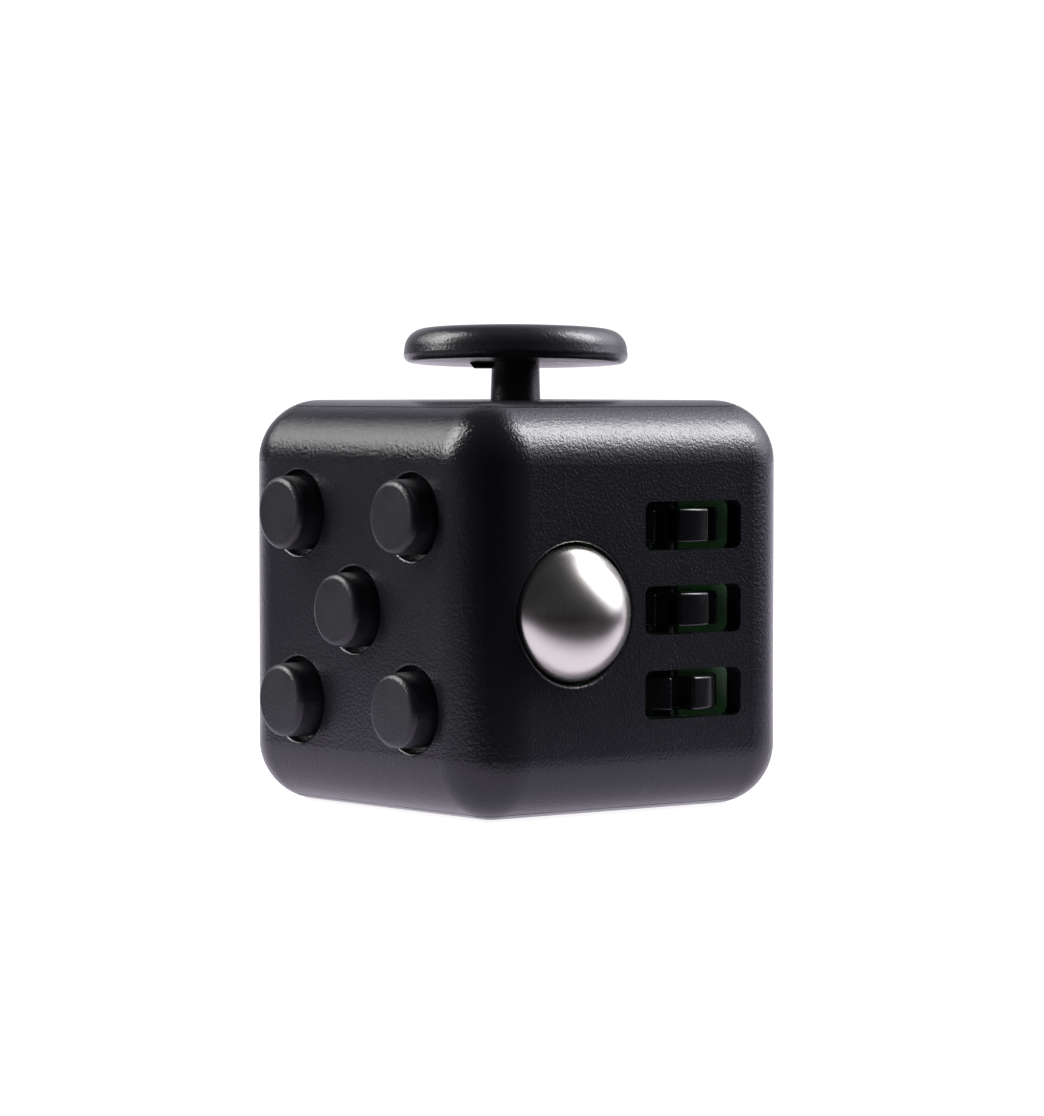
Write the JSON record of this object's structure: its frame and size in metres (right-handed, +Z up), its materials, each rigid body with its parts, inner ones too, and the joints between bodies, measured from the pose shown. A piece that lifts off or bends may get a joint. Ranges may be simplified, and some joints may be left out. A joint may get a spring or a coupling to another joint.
{
  "type": "fidget cube",
  "caption": "Pocket desk toy: a black rounded cube with push buttons, a click ball, thumb gears, a joystick, a dial, a rocker and a thumb dish, each working.",
  "frame": {"origin": "on the resting plane, under the middle of the cube", "axes": "+Z up through the joystick, -X out of the button face, -Y out of the ball and gear face, +X out of the dial, +Y out of the rocker"},
  "size_m": [0.0376, 0.0391, 0.0392],
  "materials": {
    "housing_abs": "black moulded ABS with a fine spark-eroded grain",
    "joystick_abs": "black moulded ABS, satin",
    "button_abs": "black moulded ABS, fine satin",
    "control_abs": "black moulded ABS, satin",
    "gear_pom": "black acetal, polished",
    "cradle_pom": "dark green acetal",
    "slide_pom": "natural acetal",
    "bracket_abs": "black ABS, as moulded",
    "ball_steel": "satin-polished bearing steel",
    "spring_steel": "stainless spring steel",
    "pin_steel": "ground steel pin",
    "screw_steel": "zinc-plated steel",
    "silicone": "translucent grey silicone"
  },
  "bodies": {
    "housing": {"body_shell": "housing_abs", "top_cover": "housing_abs", "bottom_cover": "housing_abs", "gear_cradle": "cradle_pom", "button_plate": "bracket_abs", "ball_sleeve": "bracket_abs", "rocker_frame": "bracket_abs", "joystick_base": "bracket_abs", "click_dome_centre": "spring_steel", "click_dome_upper_front": "spring_steel", "click_dome_lower_rear": "spring_steel", "ball_click_dome": "spring_steel", "joystick_spring": "spring_steel", "rocker_leaf": "spring_steel", "dial_washer": "spring_steel", "silent_pad_upper_rear": "silicone", "silent_pad_lower_front": "silicone", "gear_axle": "pin_steel", "rocker_pin": "pin_steel", "button_plate_screws": "screw_steel", "ball_sleeve_screws": "screw_steel", "gear_cradle_screws": "screw_steel", "rocker_frame_screws": "screw_steel", "joystick_base_screws": "screw_steel"},
    "gimbal": {"gimbal_ring": "slide_pom", "joystick_pin": "pin_steel"},
    "joystick": {"joystick": "joystick_abs"},
    "button_centre": {"button_centre": "button_abs"},
    "button_upper_front": {"button_upper_front": "button_abs"},
    "button_lower_front": {"button_lower_front": "button_abs"},
    "button_upper_rear": {"button_upper_rear": "button_abs"},
    "button_lower_rear": {"button_lower_rear": "button_abs"},
    "ball_carrier": {"ball_cup": "slide_pom"},
    "ball": {"steel_ball": "ball_steel"},
    "gear_upper": {"gear_upper": "gear_pom"},
    "gear_middle": {"gear_middle": "gear_pom"},
    "gear_lower": {"gear_lower": "gear_pom"},
    "rocker": {"rocker": "control_abs"},
    "dial": {"dial": "control_abs", "dial_retainer": "bracket_abs", "dial_screw": "screw_steel"}
  },
  "joints": [
    {"name": "joystick_tilt_a", "type": "hinge", "parent": "housing", "child": "gimbal", "pos_m": [0, 0, 0.0288], "axis": [0.7071, 0.7071, 0], "range_deg": [-10, 10], "stiffness_Nm_per_rad": 0.02},
    {"name": "joystick_tilt_b", "type": "hinge", "parent": "gimbal", "child": "joystick", "pos_m": [0, 0, 0.0288], "axis": [0.7071, -0.7071, 0], "range_deg": [-7.25, 12.75], "stiffness_Nm_per_rad": 0.02},
    {"name": "button_centre_press", "type": "slide", "parent": "housing", "child": "button_centre", "axis": [1, 0, 0], "range_m": [0, 0.0009], "stiffness_N_per_m": 700, "springref_m": -0.0004},
    {"name": "button_upper_front_press", "type": "slide", "parent": "housing", "child": "button_upper_front", "axis": [1, 0, 0], "range_m": [0, 0.0009], "stiffness_N_per_m": 700, "springref_m": -0.0004},
    {"name": "button_lower_front_press", "type": "slide", "parent": "housing", "child": "button_lower_front", "axis": [1, 0, 0], "range_m": [0, 0.0009], "stiffness_N_per_m": 700, "springref_m": -0.0004},
    {"name": "button_upper_rear_press", "type": "slide", "parent": "housing", "child": "button_upper_rear", "axis": [1, 0, 0], "range_m": [0, 0.0009], "stiffness_N_per_m": 700, "springref_m": -0.0004},
    {"name": "button_lower_rear_press", "type": "slide", "parent": "housing", "child": "button_lower_rear", "axis": [1, 0, 0], "range_m": [0, 0.0009], "stiffness_N_per_m": 700, "springref_m": -0.0004},
    {"name": "ball_press", "type": "slide", "parent": "housing", "child": "ball_carrier", "axis": [0, 1, 0], "range_m": [0, 0.0009], "stiffness_N_per_m": 1500, "springref_m": -0.0004},
    {"name": "ball_roll", "type": "hinge", "parent": "ball_carrier", "child": "ball", "pos_m": [-0.00694, -0.0141, 0.0163], "axis": [1, 0, 0], "continuous": true},
    {"name": "gear_upper_turn", "type": "hinge", "parent": "housing", "child": "gear_upper", "pos_m": [0.00518, -0.01185, 0.0163], "axis": [0, 0, 1], "continuous": true},
    {"name": "gear_middle_turn", "type": "hinge", "parent": "housing", "child": "gear_middle", "pos_m": [0.00518, -0.01185, 0.0163], "axis": [0, 0, 1], "continuous": true},
    {"name": "gear_lower_turn", "type": "hinge", "parent": "housing", "child": "gear_lower", "pos_m": [0.00518, -0.01185, 0.0163], "axis": [0, 0, 1], "continuous": true},
    {"name": "rocker_flip", "type": "hinge", "parent": "housing", "child": "rocker", "pos_m": [0, 0.013, 0.0163], "axis": [1, 0, 0], "range_deg": [-26, 0]},
    {"name": "dial_turn", "type": "hinge", "parent": "housing", "child": "dial", "pos_m": [0.0165, 0, 0.0163], "axis": [1, 0, 0], "continuous": true}
  ]
}
